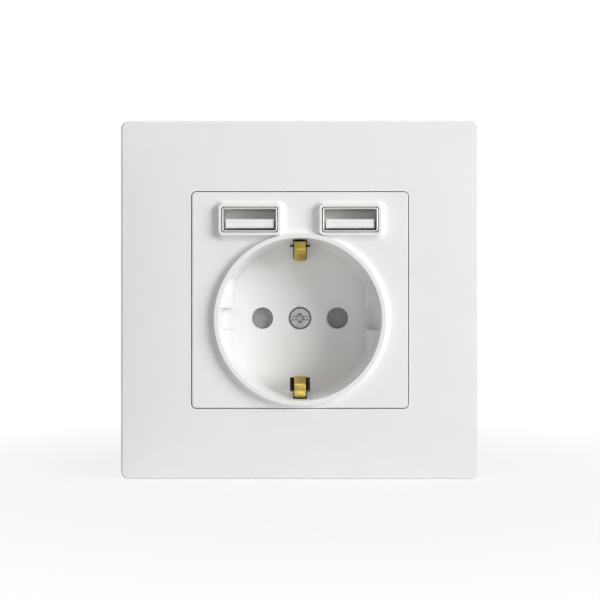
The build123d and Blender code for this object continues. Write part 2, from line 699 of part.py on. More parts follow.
# Rear cover with posts behind the forks and holes for the wires
def make_rear_cover():
    cover = slab(base_outline(0), cover_back_y, base_back_y)
    lip_outside = BASE_WALL + COVER_LIP_PLAY
    lip = base_outline(lip_outside) - base_outline(lip_outside + COVER_LIP_WIDTH)
    cover += slab(lip, base_back_y, base_back_y - COVER_LIP_TALL)
    for side in (-1, 1):
        post = Pos(side * pin_x, well_z) * Rectangle(COVER_POST_SIDE, COVER_POST_SIDE)
        cover += slab(post, base_back_y, contact_back_y)
        x, z = side * cover_screw_x, COVER_SCREW_LIFT
        boss = make_wall_boss(x, z, COVER_BOSS_RADIUS + COVER_LIP_PLAY)
        cover -= slab(boss, base_back_y, base_back_y - 2)
        cover -= rod(x, z, COVER_SCREW_RADIUS + SCREW_CLEARANCE, cover_back_y + 1, base_back_y - 2)
        cover -= rod(x, z, COVER_HEAD_RADIUS + COVER_HEAD_PLAY, cover_back_y + 1, cover_seat_y)
        middle = side * TERMINAL_SPACING / 2
        room = BARRIER_THICK / 2 + COVER_LIP_PLAY
        strip = (middle - room, middle + room)
        cover -= block(strip, (base_back_y - 2, base_back_y), (-base_tall, barrier_top_z + 0.5))
    for x in (-TERMINAL_SPACING, 0, TERMINAL_SPACING):
        cover -= rod(x, terminal_z, WIRE_ENTRY_RADIUS, cover_back_y + 1, base_back_y - 2)
    return cover


def make_cover_screw(side):
    x, z = side * cover_screw_x, COVER_SCREW_LIFT
    head_y = cover_seat_y + COVER_HEAD_TALL
    screw = rod(x, z, COVER_HEAD_RADIUS, head_y, cover_seat_y)
    screw += rod(x, z, COVER_SCREW_RADIUS, cover_seat_y, base_back_y - COVER_SCREW_LENGTH)
    cross = Rectangle(0.7, 2.6) + Rectangle(2.6, 0.7)
    return screw - slab(Pos(x, z) * cross, head_y + 1, head_y - 0.7)


# Charging port: folded shell, tongue with its rear wall, and the contact strips
def make_usb_shell(x):
    outer = RectangleRounded(shell_width, shell_tall, 0.6)
    inner = RectangleRounded(PORT_WIDTH, PORT_TALL, 0.35)
    shell = slab(Pos(x, port_z) * (outer - inner), shell_back_y, shell_front_y)

    # sprung tabs pressed out of the lower wall
    wall = (port_z - shell_tall / 2 - 0.5, port_z - shell_tall / 2 + 0.5)
    for middle in (x - 3.4, x + 3.4):
        cut = block((middle - 1.0, middle + 1.0), (shell_front_y + 2.2, shell_front_y + 6.6), wall)
        tab = block((middle - 0.75, middle + 0.75), (shell_front_y + 3.2, shell_front_y + 6.8), wall)
        shell -= cut - tab
    for offset in (-1, 1):
        leg = sorted((x + offset * shell_width / 2, x + offset * PORT_WIDTH / 2))
        shell += block(leg, (shell_back_y - 2.8, shell_back_y - 1.3), (port_z, board_top_z + 0.6))
    return shell


def make_usb_tongue(x):
    rear_y = shell_back_y - PORT_REAR_WALL
    rear_wall = RectangleRounded(PORT_WIDTH - 0.06, PORT_TALL - 0.06, 0.35)
    tongue = slab(Pos(x, port_z) * rear_wall, shell_back_y, rear_y)
    tip_y = shell_front_y + TONGUE_SET_BACK
    side = TONGUE_WIDTH / 2
    blade = block((x - side, x + side), (tip_y, rear_y), (tongue_top_z - TONGUE_THICK, tongue_top_z))
    blade = chamfer(blade.faces().sort_by(Axis.Y)[0].edges(), TONGUE_BEVEL)
    tongue += blade
    for place in CONTACT_PLACES:
        gap = CONTACT_WIDTH / 2 + 0.05
        groove_x = (x + place - gap, x + place + gap)
        groove_z = (tongue_top_z - CONTACT_THICK, tongue_top_z + 0.1)
        tongue -= block(groove_x, (tip_y + 0.8, shell_back_y + 1), groove_z)
    return tongue


def make_usb_contacts(x):
    low = tongue_top_z - CONTACT_THICK
    front = shell_front_y + TONGUE_SET_BACK + 0.9
    tail = shell_back_y + 0.03
    strip = Polygon(
        (front, low),
        (tail + CONTACT_THICK, low),
        (tail + CONTACT_THICK, board_top_z + 0.6),
        (tail, board_top_z + 0.6),
        (tail, low + CONTACT_THICK),
        (front, low + CONTACT_THICK),
        align=None,
    )
    contacts = []
    for place in CONTACT_PLACES:
        start = x + place - CONTACT_WIDTH / 2
        contacts.append(extrude(Plane.YZ.offset(start) * strip, amount=CONTACT_WIDTH))
    return contacts


# Charger board: wide in front under the frame, narrow inside the wall box
def make_charger_board():
    front_y = plate_back_y + 0.5
    step_y = ring_front_y - 0.3
    board = block((-BOARD_FRONT_HALF, BOARD_FRONT_HALF), (front_y, step_y), (board_z, board_top_z))
    board += block((-BOARD_REAR_HALF, BOARD_REAR_HALF), (step_y - 0.1, board_back_y), (board_z, board_top_z))
    through = (board_z - 1, board_top_z + 1)
    for side in (-1, 1):
        x = side * PORT_OFFSET
        for offset in (-1, 1):
            leg_x = x + offset * (shell_width + PORT_WIDTH) / 4
            board -= block((leg_x - 0.4, leg_x + 0.4), (shell_back_y - 3.0, shell_back_y - 1.1), through)
        for place in CONTACT_PLACES:
            tail_y = (shell_back_y - 0.3, shell_back_y + 0.6)
            board -= block((x + place - 0.7, x + place + 0.7), tail_y, through)
        tab = (tab_front_y - 0.3, contact_back_y + 0.3)
        board -= block((side * pin_x - 1.3, side * pin_x + 1.3), tab, through)
    return board


def make_transformer():
    y = deck_back_y + 9
    top = board_z
    low = top - CORE_TALL
    core_half = CORE_WIDTH / 2
    core = block((-core_half, core_half), (y - CORE_DEPTH / 2, y + CORE_DEPTH / 2), (low, top))
    middle = (low + top) / 2
    room = WINDING_TALL / 2 + 0.1
    window_out = WINDING_WIDTH / 2 + 0.1
    for side in (-1, 1):
        window = sorted((side * 2.0, side * window_out))
        core -= block(window, (y - 10, y + 10), (middle - room, middle + room))
    side = WINDING_WIDTH / 2
    half = WINDING_DEPTH / 2
    winding = block((-side, side), (y - half, y + half), (middle - room + 0.1, middle + room - 0.1))
    winding = fillet(winding.edges().filter_by(Axis.Z), 1.5)
    winding -= block((-2.05, 2.05), (y - CORE_DEPTH / 2 - 0.05, y + CORE_DEPTH / 2 + 0.05), (low, top))
    return core, winding


def make_can(x, front, radius, length):
    """An electrolytic can lying under the board."""
    return rod(x, board_z - radius, radius, front + length, front)


def make_cans(offset, front, radius, length):
    """Two cans side by side, each offset from the middle."""
    return [make_can(x, front, radius, length) for x in (-offset, offset)]


def make_control_chip():
    half = CHIP_WIDTH / 2
    chip_y = (chip_front_y, chip_front_y + CHIP_LENGTH)
    chip = block((-half, half), chip_y, (board_top_z + 0.1, board_top_z + 0.1 + CHIP_TALL))
    for place in (-1.5, -0.5, 0.5, 1.5):
        y = chip_front_y + CHIP_LENGTH / 2 + CHIP_LEG_PITCH * place
        chip += block((-half - 1, half + 1), (y - 0.2, y + 0.2), (board_top_z, board_top_z + 0.3))
    return chip


def make_rectifier():
    half = RECTIFIER_WIDTH / 2
    front, back = rectifier_front_y, rectifier_front_y + RECTIFIER_LENGTH
    rectifier = block((-half, half), (front, back), (board_top_z + 0.1, board_top_z + 0.1 + RECTIFIER_TALL))
    for x in (-RECTIFIER_LEG_OFFSET, RECTIFIER_LEG_OFFSET):
        rectifier += block((x - 0.4, x + 0.4), (front - 0.9, back + 0.9), (board_top_z, board_top_z + 0.3))
    return rectifier


def make_fuse():
    return upright(-pin_x, between_y, FUSE_RADIUS, board_z - FUSE_TALL, board_z)


def make_safety_capacitor():
    disc = Cylinder(SAFETY_RADIUS, SAFETY_THICK)
    return Pos(pin_x, between_y, board_z - SAFETY_RADIUS) * Rot(0, 90, 0) * disc


os.makedirs("parts", exist_ok=True)
transformer_core, transformer_winding = make_transformer()
save(make_cover_frame(), "cover_frame")
save(make_socket_insert(), "socket_insert")
save(make_centre_screw(), "centre_screw")
save(make_centre_nut(), "centre_nut")
save(make_shutter(), "shutter")
save(make_shutter_spring(), "shutter_spring")
save(make_earth_bracket(), "earth_bracket")
save(make_pin_contact(-1), "line_contact")
save(make_pin_contact(1), "neutral_contact")
save(make_terminal(-TERMINAL_SPACING, deck_back_y), "line_terminal")
save(make_terminal(TERMINAL_SPACING, deck_back_y), "neutral_terminal")
save(make_terminal(0, deck_back_y + EARTH_THICK), "earth_terminal")
save([make_terminal_screw(x) for x in (-TERMINAL_SPACING, 0, TERMINAL_SPACING)], "terminal_screws")
save(make_support_ring(), "support_ring")
save([make_support_screw(side) for side in (-1, 1)], "support_screws")
save(make_base_body(), "base_body")
save(make_rear_cover(), "rear_cover")
save([make_cover_screw(side) for side in (-1, 1)], "cover_screws")
save(make_usb_shell(-PORT_OFFSET), "usb_shell_left")
save(make_usb_shell(PORT_OFFSET), "usb_shell_right")
save(make_usb_tongue(-PORT_OFFSET), "usb_tongue_left")
save(make_usb_tongue(PORT_OFFSET), "usb_tongue_right")
save(make_usb_contacts(-PORT_OFFSET), "usb_contacts_left")
save(make_usb_contacts(PORT_OFFSET), "usb_contacts_right")
save(make_charger_board(), "charger_board")
save(transformer_core, "transformer_core")
save(transformer_winding, "transformer_winding")
save(make_cans(INPUT_CAN_OFFSET, input_front_y, INPUT_CAN_RADIUS, INPUT_CAN_LENGTH), "input_capacitors")
save(make_cans(OUTPUT_CAN_OFFSET, output_front_y, OUTPUT_CAN_RADIUS, OUTPUT_CAN_LENGTH), "output_capacitors")
save(make_rectifier(), "rectifier")
save(make_control_chip(), "control_chip")
save(make_fuse(), "fuse")
save(make_safety_capacitor(), "safety_capacitor")
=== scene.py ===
# %% [markdown]
# # A wall socket with charging ports, dressed in Blender
#
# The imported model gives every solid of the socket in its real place, in metres.
# This lesson puts a camera, a floor and soft light round it, and gives each solid
# the finish of its real material.
# The small metal pieces that show best from near are modelled by hand:
# screws, port shells and the brass earth strip.
# The mouldings that are seen from behind get the small rounded edges that a mould leaves.

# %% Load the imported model
import json
import math

import bpy
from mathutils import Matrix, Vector


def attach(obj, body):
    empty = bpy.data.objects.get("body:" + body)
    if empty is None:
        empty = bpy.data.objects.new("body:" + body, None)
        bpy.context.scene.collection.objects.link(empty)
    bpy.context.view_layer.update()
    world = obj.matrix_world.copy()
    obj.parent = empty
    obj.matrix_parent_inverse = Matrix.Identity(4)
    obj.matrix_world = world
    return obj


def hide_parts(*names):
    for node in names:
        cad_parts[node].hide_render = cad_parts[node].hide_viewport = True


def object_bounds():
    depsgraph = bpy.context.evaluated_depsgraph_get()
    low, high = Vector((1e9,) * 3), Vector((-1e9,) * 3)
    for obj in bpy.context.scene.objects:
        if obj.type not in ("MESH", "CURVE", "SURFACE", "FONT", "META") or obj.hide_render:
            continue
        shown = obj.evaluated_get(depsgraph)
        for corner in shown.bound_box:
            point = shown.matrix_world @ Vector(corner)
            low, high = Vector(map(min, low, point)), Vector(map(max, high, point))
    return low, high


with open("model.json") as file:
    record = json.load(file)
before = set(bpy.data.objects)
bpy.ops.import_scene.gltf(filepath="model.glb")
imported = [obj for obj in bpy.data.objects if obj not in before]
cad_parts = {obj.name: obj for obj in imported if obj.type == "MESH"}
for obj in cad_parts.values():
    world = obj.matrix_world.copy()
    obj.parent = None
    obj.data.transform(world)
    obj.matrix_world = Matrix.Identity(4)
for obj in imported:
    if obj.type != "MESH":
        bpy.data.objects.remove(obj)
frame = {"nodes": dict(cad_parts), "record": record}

cad_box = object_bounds()
nodes = frame["nodes"]
print("nodes", len(nodes), "box", [[round(v, 4) for v in corner] for corner in cad_box])

# %% [markdown]
# ## Camera
#
# The picture is taken square on, from the height of the socket's middle.
# Straight lines stay parallel to the picture's edges, so the camera looks exactly along +Y,
# and needs no shift.
# A lens of middle length, a quarter of a metre away, makes the well's floor look
# a little smaller than its mouth, which tells how near the camera was.

# %% Place the camera
scene = bpy.context.scene
scene.view_settings.view_transform = "Standard"
CAMERA_DISTANCE = 0.268
SENSOR_WIDTH, LENS = 36, 64.7
bpy.ops.object.camera_add(location=(0, -CAMERA_DISTANCE, 0), rotation=(math.pi / 2, 0, 0))
camera = bpy.context.object
camera.data.sensor_width = SENSOR_WIDTH
camera.data.lens = LENS
camera.data.clip_start = 0.01
scene.camera = camera
print("camera lens", camera.data.lens, "mm at", CAMERA_DISTANCE, "m")

# %% [markdown]
# ## Helpers for the shaders
#
# Colours are easiest to read as the hex values of a paint program, which are sRGB.
# Shaders calculate in linear light, so one function turns a hex value into linear numbers.
# A second function adds one node: its settings, its values and its links in one line.

# %% Two helpers
def linear(hex_colour):
    """Turn an sRGB hex colour into linear red, green, blue and alpha."""
    values = []
    for start in (1, 3, 5):
        part = int(hex_colour[start:start + 2], 16) / 255
        values.append(part / 12.92 if part <= 0.04045 else ((part + 0.055) / 1.055) ** 2.4)
    return (*values, 1.0)


def add_node(tree, kind, inputs=None, **settings):
    """Add one node, set its properties, and set or link its inputs."""
    node = tree.nodes.new(kind)
    for name, value in settings.items():
        setattr(node, name, value)
    for name, value in (inputs or {}).items():
        if isinstance(value, bpy.types.NodeSocket):
            tree.links.new(value, node.inputs[name])
        else:
            node.inputs[name].default_value = value
    return node


print("white reads", [round(v, 3) for v in linear("#FFFFFF")])

# %% [markdown]
# ## Floor, background and light
#
# The socket stands on a white table in a white room, and only a faint shadow shows where it stands.
# A matt floor alone would turn grey towards the horizon, so what the camera sees of it is mostly
# plain white, and the rest is the matt surface that takes the shadow.
# Away from the socket it fades to white altogether.
# The same is done for the room: white to the eye, less bright in reflections,
# and much dimmer as a source of light.

# %% Floor and background
FLOOR_Z = cad_box[0][2]
FLOOR_WHITE = 0.82
FADE_START, FADE_END = 0.07, 0.13
ROOM_LIGHT, ROOM_MIRRORED = 0.07, 0.6


def seen_directly(tree):
    """One for what the camera sees, also through a clear surface, and zero for light that bounces."""
    path = add_node(tree, "ShaderNodeLightPath")
    either = {0: path.outputs["Is Camera Ray"], 1: path.outputs["Is Transmission Ray"]}
    return add_node(tree, "ShaderNodeMath", either, operation="MAXIMUM").outputs[0]


bpy.ops.object.select_all(action="DESELECT")
bpy.ops.mesh.primitive_plane_add(size=4, location=(0, 0, FLOOR_Z))
floor = bpy.context.object
floor.name = "floor"
bpy.ops.object.transform_apply(location=True, rotation=True, scale=True)
paper = bpy.data.materials.new("white table paper")
paper.use_nodes = True
tree = paper.node_tree
tree.nodes.clear()
spot = add_node(tree, "ShaderNodeTexCoord").outputs["Object"]
reach = add_node(tree, "ShaderNodeVectorMath", {0: spot}, operation="LENGTH").outputs["Value"]
fade = {"Value": reach, "From Min": FADE_START, "From Max": FADE_END, "To Min": FLOOR_WHITE, "To Max": 1.0}
fade = add_node(tree, "ShaderNodeMapRange", fade).outputs["Result"]
share = add_node(tree, "ShaderNodeMath", {0: seen_directly(tree), 1: fade}, operation="MULTIPLY")
matt = add_node(tree, "ShaderNodeBsdfDiffuse", {"Color": linear("#F2F2F2")})
glow = add_node(tree, "ShaderNodeEmission", {"Color": linear("#FFFFFF"), "Strength": 1.0})
mixed = add_node(tree, "ShaderNodeMixShader", {0: share.outputs[0], 1: matt.outputs[0], 2: glow.outputs[0]})
add_node(tree, "ShaderNodeOutputMaterial", {"Surface": mixed.outputs[0]})
floor.data.materials.append(paper)

world = bpy.data.worlds.new("white room")
scene.world = world
world.use_nodes = True
tree = world.node_tree
tree.nodes.clear()
room = add_node(tree, "ShaderNodeBackground", {"Color": linear("#FFFFFF"), "Strength": ROOM_LIGHT})
mirrored = add_node(tree, "ShaderNodeBackground", {"Color": linear("#FFFFFF"), "Strength": ROOM_MIRRORED})
white = add_node(tree, "ShaderNodeBackground", {"Color": linear("#FFFFFF"), "Strength": 1.0})
glossy = add_node(tree, "ShaderNodeLightPath").outputs["Is Glossy Ray"]
dim = add_node(tree, "ShaderNodeMixShader", {0: glossy, 1: room.outputs[0], 2: mirrored.outputs[0]})
seen = {0: seen_directly(tree), 1: dim.outputs[0], 2: white.outputs[0]}
mixed = add_node(tree, "ShaderNodeMixShader", seen)
add_node(tree, "ShaderNodeOutputWorld", {"Surface": mixed.outputs[0]})
print("floor at", round(FLOOR_Z, 4))

# %% [markdown]
# The key light is a large soft window on the right, a little above the socket.
# It makes the left side of the rim and of the port bosses throw their soft shadows.
# A weak light near the camera reaches into the ports and lifts the upper half of the well.
# A lamp overhead keeps the table white, and the table throws some of that light back up.
# A faint one behind the socket keeps its back from going dark.

# %% Lights
def add_window(name, side, front, up, distance, size, energy):
    """Add a soft round light in a direction from the socket, aimed at its middle. Metres and watts."""
    bpy.ops.object.select_all(action="DESELECT")
    place = distance * Vector((side, -front, up)).normalized()
    bpy.ops.object.light_add(type="AREA", location=place)
    light = bpy.context.object
    light.name = name
    light.data.shape = "DISK"
    light.data.size = size
    light.data.energy = energy
    light.rotation_euler = (-place).to_track_quat("-Z", "Y").to_euler()
    print(name, "at", [round(v, 2) for v in place])


add_window("window light", 0.757, 0.592, 0.24, distance=1.6, size=1.0, energy=20.4)
add_window("front light", 0.0, 1.0, 0.1, distance=0.5, size=0.3, energy=0.14)
add_window("overhead light", 0.0, 0.25, 0.97, distance=0.6, size=0.5, energy=1.05)
add_window("back light", -0.5, -0.8, 0.5, distance=0.9, size=0.6, energy=1.2)

# %% [markdown]
# ## Finishes
#
# A finish is more than a colour: a moulding has a faint grain from its mould,
# rolled brass has lines along the strip, and zinc plating is a little cloudy.
# Each finish starts from one shader with the values that are usual for its material.
# Then noise, measured in millimetres on the object, varies its roughness, its colour and its surface.
# Marks too fine for the picture's pixels are drawn a little coarser than they are, so that they still show.

# %% Helpers for the finishes
MM = 0.001


def new_finish(name, colour, rough, metal=0.0, **more):
    """Start a finish with one shader, and give back its parts and the object's own coordinates."""
    material = bpy.data.materials.new(name)
    material.use_nodes = True
    tree = material.node_tree
    tree.nodes.clear()
    values = {"Base Color": linear(colour), "Roughness": rough, "Metallic": metal, **more}
    shader = add_node(tree, "ShaderNodeBsdfPrincipled", values)
    add_node(tree, "ShaderNodeOutputMaterial", {"Surface": shader.outputs[0]})
    place = add_node(tree, "ShaderNodeTexCoord").outputs["Object"]
    return material, tree, shader, place


def stretch(tree, place, x, y, z):
    """Squeeze the coordinates, so that marks grow long where a value is small."""
    return add_node(tree, "ShaderNodeMapping", {"Vector": place, "Scale": (x, y, z)}).outputs[0]


def marks(tree, place, size, low, high, detail=2.0):
    """Noise with marks about size millimetres wide, spread between two values."""
    pattern = {"Vector": place, "Scale": 1 / (size * MM), "Detail": detail}
    noise = add_node(tree, "ShaderNodeTexNoise", pattern)
    values = {"Value": noise.outputs["Fac"], "From Min": 0.3, "From Max": 0.7, "To Min": low, "To Max": high}
    return add_node(tree, "ShaderNodeMapRange", values).outputs["Result"]


def tint(tree, shader, factor, first, second):
    """Let the colour wander between two near colours."""
    colours = {"Fac": factor, "Color1": linear(first), "Color2": linear(second)}
    mixed = add_node(tree, "ShaderNodeMixRGB", colours)
    tree.links.new(mixed.outputs[0], shader.inputs["Base Color"])


def grain(tree, shader, height, depth):
    """Raise the surface by depth millimetres where height is one."""
    bump = add_node(tree, "ShaderNodeBump", {"Height": height, "Distance": depth * MM})
    tree.links.new(bump.outputs[0], shader.inputs["Normal"])


def rough(tree, shader, factor):
    """Let the gloss vary."""
    tree.links.new(factor, shader.inputs["Roughness"])


finishes = {}
print("finish helpers ready")

# %% [markdown]
# ### White moulding of the front
#
# The frame and the insert are pressed from a hard white thermoset.
# Its skin is smooth with a satin gloss, and only a very fine grain from the mould breaks the reflections.
# A faint cloudiness, as wide as a fingertip, keeps the large faces from looking like paper.

# %% Front plastic
made, tree, shader, place = new_finish("pressed white thermoset, satin", "#F7F7F6", 0.3, IOR=1.55)
tint(tree, shader, marks(tree, place, 14, 0, 1), "#F8F8F7", "#F6F6F5")
rough(tree, shader, marks(tree, place, 2, 0.29, 0.32))
grain(tree, shader, marks(tree, place, 0.3, 0, 1), 0.0002)
finishes["front_plastic"] = made
print(made.name)

# %% [markdown]
# ### Other mouldings
#
# The base is filled with glass fibre, which leaves a matt skin with fine pale flecks.
# The shutter is a grey moulding behind the pin holes, and the port's tongue is a white one. The shutter's
# grey is partly painted shade: it makes the shutter darker deep in the pin holes than the holes' own shade
# would.

# %% Base, shutter and port plastic
made, tree, shader, place = new_finish("glass-filled nylon, matt grey", "#C9C9C6", 0.55, IOR=1.53)
fleck = marks(tree, stretch(tree, place, 1, 1, 0.35), 0.5, 0, 1, 4)
tint(tree, shader, fleck, "#C3C3C0", "#D0D0CD")
rough(tree, shader, marks(tree, place, 2, 0.48, 0.62))
grain(tree, shader, marks(tree, place, 0.4, 0, 1, 3), 0.006)
finishes["base_plastic"] = made

# The shutter's grey is partly painted shade, so it shows darker deep in the pin holes.
made, tree, shader, place = new_finish("moulded grey acetal, darkened as painted shade", "#A3A3A2", 0.45, IOR=1.48)
tint(tree, shader, marks(tree, place, 1.5, 0, 1), "#A7A7A6", "#9E9E9D")
rough(tree, shader, marks(tree, place, 1, 0.4, 0.52))
grain(tree, shader, marks(tree, place, 0.3, 0, 1), 0.003)
finishes["shutter_plastic"] = made

made, tree, shader, place = new_finish("moulded white polyamide", "#FBFBFA", 0.42, IOR=1.53)
tint(tree, shader, marks(tree, place, 2, 0, 1), "#FCFCFB", "#F9F9F8")
rough(tree, shader, marks(tree, place, 1, 0.38, 0.48))
grain(tree, shader, marks(tree, place, 0.3, 0, 1), 0.002)
finishes["port_plastic"] = made
print(sorted(finishes))

# %% [markdown]
# ### Brass and gilt
#
# The earth strip and the contacts are stamped from rolled brass.
# Rolling leaves fine lines along the strip, which spread its reflections sideways,
# and air dulls it in patches.
# The contacts in the ports have a thin gilt layer, smoother and paler.

# %% Brass and gilt
made, tree, shader, place = new_finish("rolled brass strip", "#CDB561", 0.3, 1.0)
lines = marks(tree, stretch(tree, place, 4, 0.2, 0.2), 0.5, 0, 1, 3)
tint(tree, shader, marks(tree, place, 3, 0, 1, 4), "#D3BC68", "#BFA553")
rough(tree, shader, marks(tree, place, 1.2, 0.26, 0.4, 3))
grain(tree, shader, lines, 0.0008)
finishes["brass"] = made

made, tree, shader, place = new_finish("gilt contact strip", "#E2D6B4", 0.22, 1.0)
tint(tree, shader, marks(tree, place, 1, 0, 1), "#E5D9B8", "#DDD0AA")
rough(tree, shader, marks(tree, stretch(tree, place, 4, 0.3, 0.3), 0.8, 0.18, 0.3))
finishes["gilt"] = made
print(sorted(finishes))

# %% [markdown]
# ### Plated steel
#
# The port shells are folded from nickel-plated sheet, with faint lines along the fold.
# Screws, the wall plate and the nut are zinc-plated: greyer, duller and slightly cloudy from the bath.

# %% Nickel and zinc
made, tree, shader, place = new_finish("nickel-plated sheet", "#F0F0EE", 0.32, 1.0)
tint(tree, shader, marks(tree, place, 4, 0, 1), "#F2F2F0", "#ECECEA")
rough(tree, shader, marks(tree, stretch(tree, place, 1, 0.2, 1), 0.6, 0.36, 0.46, 3))
grain(tree, shader, marks(tree, stretch(tree, place, 1, 0.1, 1), 0.4, 0, 1), 0.0004)
finishes["bright_steel"] = made

made, tree, shader, place = new_finish("zinc-plated steel", "#BEBEBC", 0.42, 1.0)
tint(tree, shader, marks(tree, place, 1.2, 0, 1, 4), "#C4C4C2", "#B6B6B4")
rough(tree, shader, marks(tree, place, 0.8, 0.42, 0.58, 3))
grain(tree, shader, marks(tree, place, 0.3, 0, 1, 3), 0.003)
finishes["zinc_steel"] = made
print(sorted(finishes))

# %% [markdown]
# ### Parts of the charger
#
# The board is glass cloth under a green mask, and the weave of the cloth shows faintly.
# Its parts have their own skins: grainy ferrite, yellow tape wound in turns, shrunk sleeves,
# black packages and a blue dip.

# %% Charger finishes
made, tree, shader, place = new_finish("solder mask on glass cloth", "#1F6B3A", 0.35, IOR=1.55)
threads = {"Vector": place, "Scale": 400.0}
warp = add_node(tree, "ShaderNodeTexWave", threads, bands_direction="X")
weft = add_node(tree, "ShaderNodeTexWave", threads, bands_direction="Y")
both = {0: warp.outputs["Fac"], 1: weft.outputs["Fac"]}
weave = add_node(tree, "ShaderNodeMath", both, operation="MULTIPLY").outputs[0]
tint(tree, shader, weave, "#1B6135", "#257542")
grain(tree, shader, weave, 0.006)
finishes["board"] = made

made, tree, shader, place = new_finish("sintered ferrite", "#2B2B2D", 0.6, IOR=1.8)
tint(tree, shader, marks(tree, place, 0.4, 0, 1, 4), "#343436", "#222224")
grain(tree, shader, marks(tree, place, 0.3, 0, 1, 4), 0.01)
finishes["ferrite"] = made

made, tree, shader, place = new_finish("yellow winding tape", "#D9B02A", 0.4, IOR=1.6)
waves = {"Vector": place, "Scale": 90.0}
turns = add_node(tree, "ShaderNodeTexWave", waves, bands_direction="Z").outputs["Fac"]
tint(tree, shader, turns, "#CBA022", "#E0BA3A")
grain(tree, shader, turns, 0.03)
finishes["tape"] = made

made, tree, shader, place = new_finish("shrunk sleeve, dark", "#22263A", 0.35, IOR=1.54)
tint(tree, shader, marks(tree, place, 2, 0, 1), "#262B40", "#1E2234")
grain(tree, shader, marks(tree, stretch(tree, place, 1, 0.2, 1), 0.8, 0, 1), 0.008)
finishes["can_sleeve"] = made

made, tree, shader, place = new_finish("black moulded package", "#1E1E20", 0.5, IOR=1.55)
tint(tree, shader, marks(tree, place, 0.5, 0, 1, 3), "#232325", "#19191B")
grain(tree, shader, marks(tree, place, 0.25, 0, 1, 3), 0.005)
finishes["chip_black"] = made

made, tree, shader, place = new_finish("blue dipped coating", "#2E5FA8", 0.28, IOR=1.5)
tint(tree, shader, marks(tree, place, 1.5, 0, 1), "#3265AF", "#29579C")
grain(tree, shader, marks(tree, place, 1.2, 0, 1), 0.04)
finishes["disc_blue"] = made
print("finishes", len(finishes))

# %% [markdown]
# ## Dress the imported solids
#
# The record says which finish each solid takes, so one loop dresses them all.

# %% Give each solid its finish
slot_of = {part["node"]: part["material_slot"] for part in frame["record"]["subparts"]}
for name, slot in slot_of.items():
    solid = nodes[name]
    solid.data.materials.clear()
    solid.data.materials.append(finishes[slot])
print("dressed", len(slot_of))

# %% [markdown]
# ## Helpers for modelling
#
# The small metal pieces are modelled as by hand: a primitive is put in place at its size,
# and then edges are bevelled, faces are inset and pulled, and recesses are cut.
# Picking a face or an edge with the mouse becomes a test of where its points lie, in millimetres.

# %% Modelling helpers
def finish_start(name):
    """Name the primitive that was just added, and bake its place and turn into its mesh."""
    piece = bpy.context.object
    piece.name = name
    bpy.ops.object.transform_apply(location=True, rotation=True, scale=True)
    return piece


def start_bar(name, radius, low, high, x, y, z, along_y=True, sides=64):
    """Start a piece as a round bar along Y or along Z. The limits count along the bar."""
    bpy.ops.object.select_all(action="DESELECT")
    middle = (low + high) / 2
    place = (x, middle, z) if along_y else (x, y, middle)
    turn = (math.pi / 2, 0, 0) if along_y else (0, 0, 0)
    sizes = {"vertices": sides, "radius": radius * MM, "depth": (high - low) * MM}
    bpy.ops.mesh.primitive_cylinder_add(location=[v * MM for v in place], rotation=turn, **sizes)
    return finish_start(name)


def start_box(name, low, high):
    """Start a piece as a box between two corners."""
    bpy.ops.object.select_all(action="DESELECT")
    middle = [(a + b) / 2 * MM for a, b in zip(low, high)]
    sizes = [(b - a) * MM for a, b in zip(low, high)]
    bpy.ops.mesh.primitive_cube_add(size=1, location=middle, scale=sizes)
    return finish_start(name)


def pick(piece, kind, test):
    """Select the faces, edges or corners whose points all pass a test, and go into Edit Mode."""
    if bpy.context.mode != "OBJECT":
        bpy.ops.object.mode_set(mode="OBJECT")
    bpy.context.view_layer.objects.active = piece
    bpy.context.tool_settings.mesh_select_mode = (kind == "VERT", kind == "EDGE", kind == "FACE")
    mesh = piece.data
    points = [corner.co / MM for corner in mesh.vertices]
    for group, name in ((mesh.vertices, "VERT"), (mesh.edges, "EDGE"), (mesh.polygons, "FACE")):
        for part in group:
            held = [part.index] if name == "VERT" else part.vertices
            part.select = name == kind and all(test(points[i]) for i in held)
    bpy.ops.object.mode_set(mode="EDIT")


def done():
    """Go back to Object Mode."""
    bpy.ops.object.mode_set(mode="OBJECT")


def apply_modifier(piece, kind, **settings):
    """Add a modifier, set it, and apply it."""
    bpy.context.view_layer.objects.active = piece
    modifier = piece.modifiers.new("step", kind)
    for name, value in settings.items():
        setattr(modifier, name, value)
    bpy.ops.object.modifier_apply(modifier="step")


def cut_box(piece, low, high, deep_end=None, taper=1.0):
    """Cut a box-shaped recess. Its deep end, a place along Y, can be narrower than its mouth."""
    cutter = start_box("cutter", low, high)
    if deep_end is not None:
        pick(cutter, "FACE", lambda p: abs(p.y - deep_end) < NEAR)
        middle = [(a + b) / 2 * MM for a, b in zip(low, high)]
        across = (True, False, True)
        bpy.ops.transform.resize(value=(taper, taper, taper), center_override=middle, constraint_axis=across)
        done()
    apply_modifier(piece, "BOOLEAN", operation="DIFFERENCE", object=cutter, solver="EXACT")
    bpy.data.objects.remove(cutter)


def smooth(piece, degrees=35):
    """Shade the round parts smooth and keep the sharp edges."""
    bpy.ops.object.select_all(action="DESELECT")
    piece.select_set(True)
    bpy.context.view_layer.objects.active = piece
    bpy.ops.object.shade_smooth_by_angle(angle=math.radians(degrees))


def copy_piece(piece, name, move):
    """Copy a piece with its own mesh, and move the copy by millimetres."""
    bpy.ops.object.select_all(action="DESELECT")
    twin = piece.copy()
    twin.data = piece.data.copy()
    twin.name = name
    bpy.context.collection.objects.link(twin)
    twin.location = [v * MM for v in move]
    twin.select_set(True)
    bpy.context.view_layer.objects.active = twin
    bpy.ops.object.transform_apply(location=True, rotation=True, scale=True)
    return twin


def join(pieces, name):
    """Join pieces into the first one."""
    bpy.ops.object.select_all(action="DESELECT")
    for piece in pieces:
        piece.select_set(True)
    bpy.context.view_layer.objects.active = pieces[0]
    bpy.ops.object.join()
    pieces[0].name = name
    return pieces[0]


